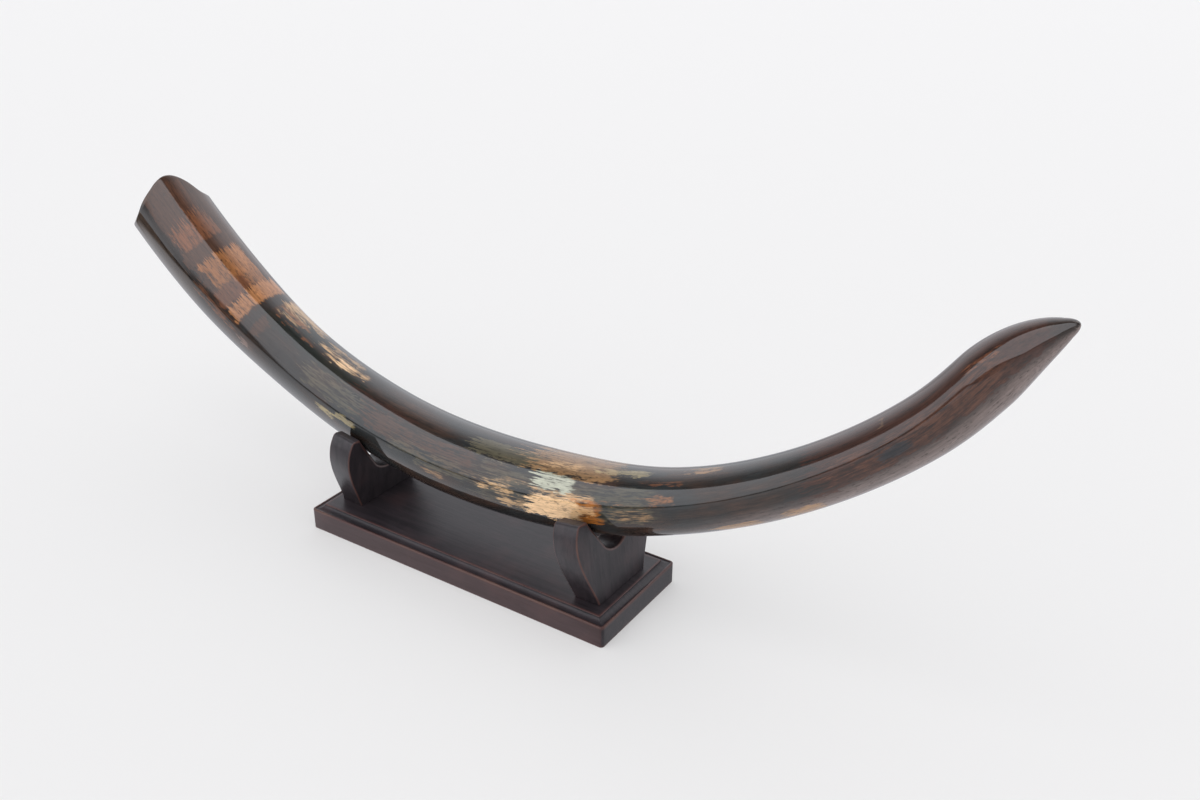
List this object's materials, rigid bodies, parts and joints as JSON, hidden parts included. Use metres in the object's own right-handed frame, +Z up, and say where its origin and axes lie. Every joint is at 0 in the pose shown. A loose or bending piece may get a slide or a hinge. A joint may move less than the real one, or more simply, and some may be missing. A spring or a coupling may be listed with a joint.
{
  "type": "mammoth tusk on display stand",
  "caption": "Long curved polished mammoth tusk with a rounded point and an open root, resting in the notches of a low dark wooden display stand.",
  "frame": {"origin": "middle of the plinth's flat underside", "axes": "+X along the plinth from the tusk's root end to its point, +Y to the back, +Z up"},
  "size_m": [0.8205, 0.1064, 0.3235],
  "materials": {
    "tusk": "polished",
    "plinth": "satin dark stain",
    "cradle": "satin dark stain"
  },
  "bodies": {
    "root": {"tusk": "tusk", "plinth": "plinth", "root_cradle": "cradle", "tip_cradle": "cradle"}
  },
  "joints": []
}
